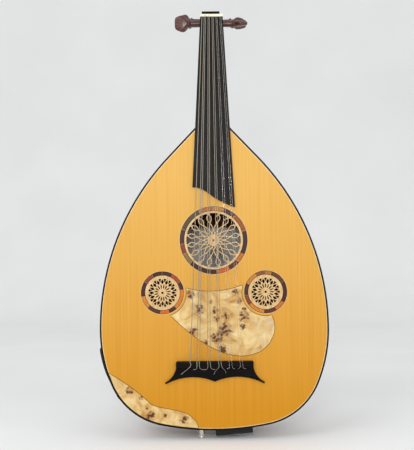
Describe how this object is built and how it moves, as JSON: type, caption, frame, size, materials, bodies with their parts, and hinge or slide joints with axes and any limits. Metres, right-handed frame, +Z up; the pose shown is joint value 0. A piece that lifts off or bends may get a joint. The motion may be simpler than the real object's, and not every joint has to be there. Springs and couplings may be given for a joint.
{
  "type": "oud",
  "caption": "Short-necked lute with a deep ribbed bowl, carved rosettes, burl guards, a bent-back pegbox with friction pegs, and an on-board pickup.",
  "frame": {"origin": "lowest point of the bowl at the tail, on the centre line, in the plane of the rim (the soundboard's back face)", "axes": "+Z up the neck from tail to nut, +X to the right as the listener sees the soundboard, +Y from the soundboard into the bowl"},
  "size_m": [0.3931, 0.2138, 0.776],
  "materials": {
    "rib_walnut": "satin",
    "pale_line": "satin",
    "spruce_block": "matte",
    "label_paper": "matte",
    "soundboard_spruce": "satin",
    "ebony": "satin",
    "marquetry": "satin",
    "rosette_maple": "satin",
    "burl": "satin",
    "neck_mahogany": "satin",
    "bone": "satin",
    "black_plastic": "matte",
    "knob_plastic": "satin",
    "battery_steel": "satin",
    "nickel_plate": "polished",
    "peg_rosewood": "satin",
    "wound_string": "satin",
    "plain_string": "gloss"
  },
  "bodies": {
    "instrument": {"bowl_ribs": "rib_walnut", "bowl_rib_lines": "pale_line", "tail_cap": "rib_walnut", "neck_block": "spruce_block", "tail_block": "spruce_block", "soundboard_braces": "spruce_block", "interior_label": "label_paper", "soundboard_bass_half": "soundboard_spruce", "soundboard_treble_half": "soundboard_spruce", "edge_binding": "ebony", "rosette_ring_main": "marquetry", "rosette_ring_bass": "marquetry", "rosette_ring_treble": "marquetry", "rosette_main": "rosette_maple", "rosette_bass": "rosette_maple", "rosette_treble": "rosette_maple", "pickguard": "burl", "lower_guard": "burl", "neck": "neck_mahogany", "fingerboard": "ebony", "pegbox_treble_cheek": "neck_mahogany", "pegbox_bass_cheek": "neck_mahogany", "pegbox_back": "neck_mahogany", "pegbox_end_block": "neck_mahogany", "pegbox_end_cap": "ebony", "nut": "bone", "bridge": "ebony", "pickup_strip": "black_plastic", "preamp_case": "black_plastic", "preamp_panel": "black_plastic", "battery_box": "black_plastic", "endpin_jack": "nickel_plate", "string_01": "wound_string", "string_02": "wound_string", "string_03": "wound_string", "string_04": "wound_string", "string_05": "wound_string", "string_06": "wound_string", "string_07": "wound_string", "string_08": "plain_string", "string_09": "plain_string", "string_10": "plain_string", "string_11": "plain_string"},
    "peg_01_body": {"peg_01": "peg_rosewood"},
    "peg_02_body": {"peg_02": "peg_rosewood"},
    "peg_03_body": {"peg_03": "peg_rosewood"},
    "peg_04_body": {"peg_04": "peg_rosewood"},
    "peg_05_body": {"peg_05": "peg_rosewood"},
    "peg_06_body": {"peg_06": "peg_rosewood"},
    "peg_07_body": {"peg_07": "peg_rosewood"},
    "peg_08_body": {"peg_08": "peg_rosewood"},
    "peg_09_body": {"peg_09": "peg_rosewood"},
    "peg_10_body": {"peg_10": "peg_rosewood"},
    "peg_11_body": {"peg_11": "peg_rosewood"},
    "volume_knob_body": {"volume_knob": "knob_plastic"},
    "treble_knob_body": {"treble_knob": "knob_plastic"},
    "bass_knob_body": {"bass_knob": "knob_plastic"},
    "battery_drawer": {"battery_tray": "black_plastic", "battery": "battery_steel"}
  },
  "joints": [
    {"name": "peg_01_turn", "type": "hinge", "parent": "instrument", "child": "peg_01_body", "pos_m": [-0.018, 0.03045, 0.69973], "axis": [-1, 0, 0], "continuous": true},
    {"name": "peg_02_turn", "type": "hinge", "parent": "instrument", "child": "peg_02_body", "pos_m": [0.018, 0.04446, 0.70206], "axis": [1, 0, 0], "continuous": true},
    {"name": "peg_03_turn", "type": "hinge", "parent": "instrument", "child": "peg_03_body", "pos_m": [-0.018, 0.05842, 0.70464], "axis": [-1, 0, 0], "continuous": true},
    {"name": "peg_04_turn", "type": "hinge", "parent": "instrument", "child": "peg_04_body", "pos_m": [0.018, 0.07233, 0.70747], "axis": [1, 0, 0], "continuous": true},
    {"name": "peg_05_turn", "type": "hinge", "parent": "instrument", "child": "peg_05_body", "pos_m": [-0.018, 0.08619, 0.71055], "axis": [-1, 0, 0], "continuous": true},
    {"name": "peg_06_turn", "type": "hinge", "parent": "instrument", "child": "peg_06_body", "pos_m": [0.018, 0.1, 0.71387], "axis": [1, 0, 0], "continuous": true},
    {"name": "peg_07_turn", "type": "hinge", "parent": "instrument", "child": "peg_07_body", "pos_m": [-0.018, 0.11374, 0.71745], "axis": [-1, 0, 0], "continuous": true},
    {"name": "peg_08_turn", "type": "hinge", "parent": "instrument", "child": "peg_08_body", "pos_m": [0.018, 0.12741, 0.72127], "axis": [1, 0, 0], "continuous": true},
    {"name": "peg_09_turn", "type": "hinge", "parent": "instrument", "child": "peg_09_body", "pos_m": [-0.018, 0.14101, 0.72534], "axis": [-1, 0, 0], "continuous": true},
    {"name": "peg_10_turn", "type": "hinge", "parent": "instrument", "child": "peg_10_body", "pos_m": [0.018, 0.15454, 0.72966], "axis": [1, 0, 0], "continuous": true},
    {"name": "peg_11_turn", "type": "hinge", "parent": "instrument", "child": "peg_11_body", "pos_m": [-0.018, 0.16799, 0.73421], "axis": [-1, 0, 0], "continuous": true},
    {"name": "volume_knob_turn", "type": "hinge", "parent": "instrument", "child": "volume_knob_body", "pos_m": [-0.16102, 0.034, 0.05707], "axis": [-0.804, 0.1698, -0.5699], "range_deg": [-140, 140]},
    {"name": "treble_knob_turn", "type": "hinge", "parent": "instrument", "child": "treble_knob_body", "pos_m": [-0.18199, 0.034, 0.10333], "axis": [-0.9429, 0.1762, -0.2826], "range_deg": [-140, 140]},
    {"name": "bass_knob_turn", "type": "hinge", "parent": "instrument", "child": "bass_knob_body", "pos_m": [-0.18759, 0.034, 0.12599], "axis": [-0.9662, 0.1751, -0.189], "range_deg": [-140, 140]},
    {"name": "battery_tray_slide", "type": "slide", "parent": "instrument", "child": "battery_drawer", "axis": [0.069, 0.0496, -0.9964], "range_m": [0, 0.034]}
  ]
}
